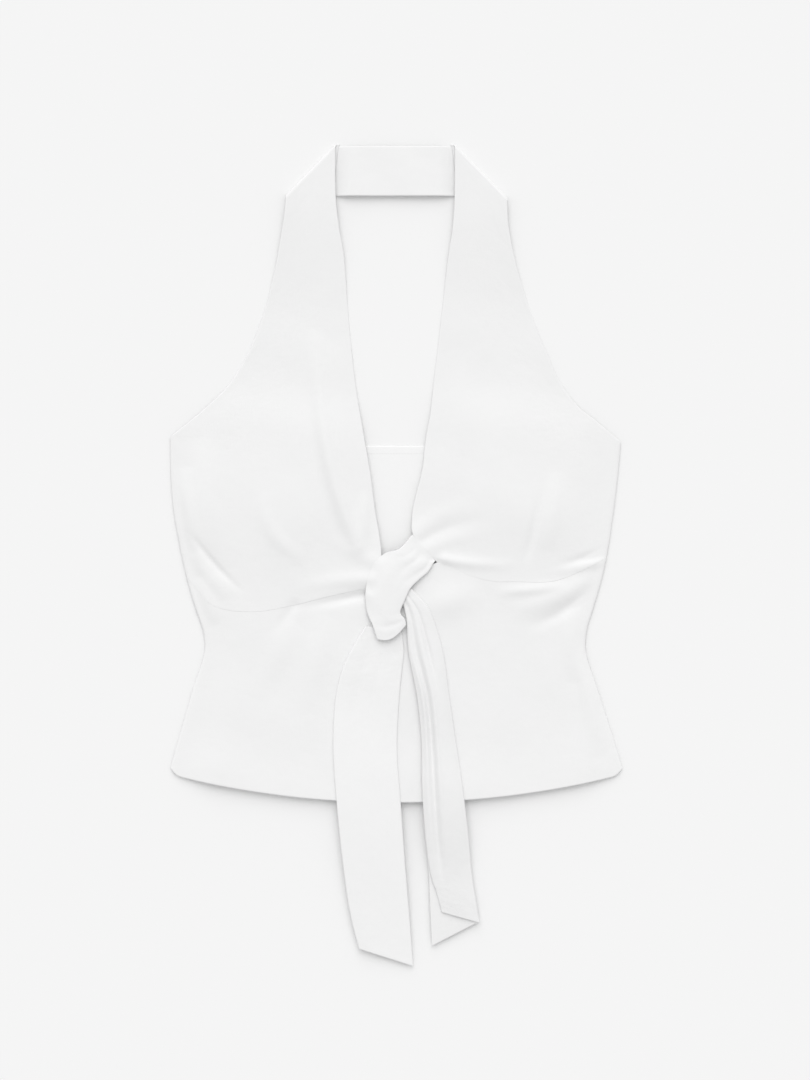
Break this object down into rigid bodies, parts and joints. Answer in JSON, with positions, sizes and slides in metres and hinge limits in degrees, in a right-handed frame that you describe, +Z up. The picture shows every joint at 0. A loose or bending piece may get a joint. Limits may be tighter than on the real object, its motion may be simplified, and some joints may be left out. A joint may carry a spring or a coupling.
{
  "type": "halter neck top",
  "caption": "Knot-front halter neck top laid flat: fitted back, two cups with wide straps turned over at the neck, flared lower front, tie ends.",
  "frame": {"origin": "centre of the footprint, on the surface that the garment lies on", "axes": "+X across the garment, +Y from the hem towards the neck, +Z up out of its front"},
  "size_m": [0.4299, 0.7813, 0.0145],
  "materials": {
    "cloth": "matt white cotton, plain weave"
  },
  "bodies": {
    "root": {"back_panel": "cloth", "front_lower": "cloth", "front_cup_left": "cloth", "front_cup_right": "cloth", "neck_band": "cloth", "knot_core": "cloth", "knot_loop": "cloth", "tie_tail_left": "cloth", "tie_tail_right": "cloth"}
  },
  "joints": []
}
